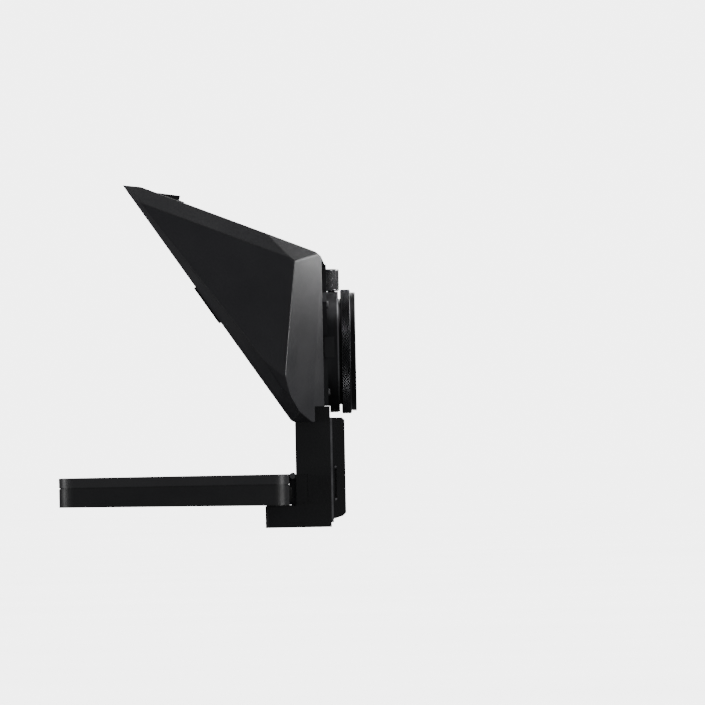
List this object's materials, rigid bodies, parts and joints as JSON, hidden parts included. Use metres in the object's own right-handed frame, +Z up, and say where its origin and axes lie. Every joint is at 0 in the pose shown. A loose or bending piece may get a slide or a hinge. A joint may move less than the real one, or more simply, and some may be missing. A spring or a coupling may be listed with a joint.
{
  "type": "teleprompter",
  "caption": "Lens-mounted teleprompter: angular light hood with an angled semi-reflective mirror, lens collar with thumbscrew, arm and fold-up screen.",
  "frame": {"origin": "on the optical axis, at the shoulder where the adapter ring meets the lens", "axes": "+X towards the camera along the optical axis, +Y across the width, +Z up"},
  "size_m": [0.1918, 0.2258, 0.2215],
  "materials": {
    "hood_plastic": "fine moulded texture, satin black",
    "trim_plastic": "matte black",
    "casting": "black powder coat",
    "black_metal": "black anodised, machined",
    "screen_plastic": "fine moulded texture, satin black",
    "plate_aluminium": "dark anodised, brushed",
    "steel": "blackened, satin",
    "brass": "turned",
    "mirror_glass": "semi-reflective coating",
    "cover_glass": "polished",
    "panel": "display surface",
    "rubber": "matte",
    "board": "solder-masked board"
  },
  "bodies": {
    "ring": {"adapter_ring": "black_metal", "ring_sleeve": "black_metal"},
    "head": {"hood_shell": "hood_plastic", "glass_frame": "trim_plastic", "mirror_glass": "mirror_glass", "glass_seal": "rubber", "rim_clips": "trim_plastic", "frame_screws": "steel", "back_frame": "black_metal", "back_screws": "steel", "collar_ring": "black_metal", "collar_cover": "plate_aluminium", "collar_screws": "steel", "light_seal": "rubber", "catch_spring": "steel", "spring_left": "steel", "spring_right": "steel", "arm_shell": "casting", "arm_core": "steel", "arm_spine": "plate_aluminium", "arm_screws": "steel", "rear_cover": "casting", "cover_screws": "steel", "slot_trim": "trim_plastic", "control_board": "board", "foot_cover": "trim_plastic", "foot_screws": "steel", "rest_pads": "rubber", "tripod_bush": "brass", "hinge_block": "casting", "hinge_leaf_arm": "black_metal", "hinge_pin": "steel", "hinge_screws_arm": "steel"},
    "catch": {"top_catch": "trim_plastic"},
    "latch_left": {"latch_left": "trim_plastic"},
    "latch_right": {"latch_right": "trim_plastic"},
    "pad": {"clamp_pad": "brass"},
    "knob": {"thumbscrew": "black_metal"},
    "screen": {"hinge_leaf_screen": "black_metal", "hinge_washers": "brass", "hinge_screws_screen": "steel", "screen_shell": "screen_plastic", "screen_bezel": "screen_plastic", "screen_glass": "cover_glass", "lcd_panel": "panel", "driver_board": "board", "screen_screws": "steel", "rear_bumpers": "rubber", "video_port": "steel", "power_port": "steel"},
    "key_power": {"key_power": "trim_plastic"},
    "key_up": {"key_up": "trim_plastic"},
    "key_down": {"key_down": "trim_plastic"}
  },
  "joints": [
    {"name": "head_release", "type": "slide", "parent": "ring", "child": "head", "axis": [-1, 0, 0], "range_m": [0, 0.012]},
    {"name": "screen_fold", "type": "hinge", "parent": "head", "child": "screen", "pos_m": [-0.039, 0, -0.0794], "axis": [0, 1, 0], "range_deg": [0, 60]},
    {"name": "pad_lift", "type": "slide", "parent": "head", "child": "pad", "axis": [0, 0, 1], "range_m": [0, 0.0016]},
    {"name": "screw_turn", "type": "hinge", "parent": "pad", "child": "knob", "pos_m": [-0.012, 0, 0.045], "axis": [0, 0, 1], "range_deg": [0, 720]},
    {"name": "catch_slide", "type": "slide", "parent": "head", "child": "catch", "axis": [0.9312, 0, -0.3646], "range_m": [0, 0.003], "stiffness_N_per_m": 300, "springref_m": -0.0003, "deforming": ["catch_spring"]},
    {"name": "latch_left_press", "type": "slide", "parent": "head", "child": "latch_left", "axis": [0, 1, 0], "range_m": [0, 0.0015], "stiffness_N_per_m": 800, "springref_m": -0.0003, "deforming": ["spring_left"]},
    {"name": "latch_right_press", "type": "slide", "parent": "head", "child": "latch_right", "axis": [0, -1, 0], "range_m": [0, 0.0015], "stiffness_N_per_m": 800, "springref_m": -0.0003, "deforming": ["spring_right"]},
    {"name": "key_power_press", "type": "slide", "parent": "screen", "child": "key_power", "axis": [0, -1, 0], "range_m": [0, 0.0007], "stiffness_N_per_m": 800, "springref_m": -0.0002},
    {"name": "key_up_press", "type": "slide", "parent": "screen", "child": "key_up", "axis": [0, -1, 0], "range_m": [0, 0.0007], "stiffness_N_per_m": 800, "springref_m": -0.0002},
    {"name": "key_down_press", "type": "slide", "parent": "screen", "child": "key_down", "axis": [0, -1, 0], "range_m": [0, 0.0007], "stiffness_N_per_m": 800, "springref_m": -0.0002}
  ],
  "couplings": [
    {"joint": "screw_turn", "follows": "pad_lift", "rad_per_m": 7853.9}
  ]
}
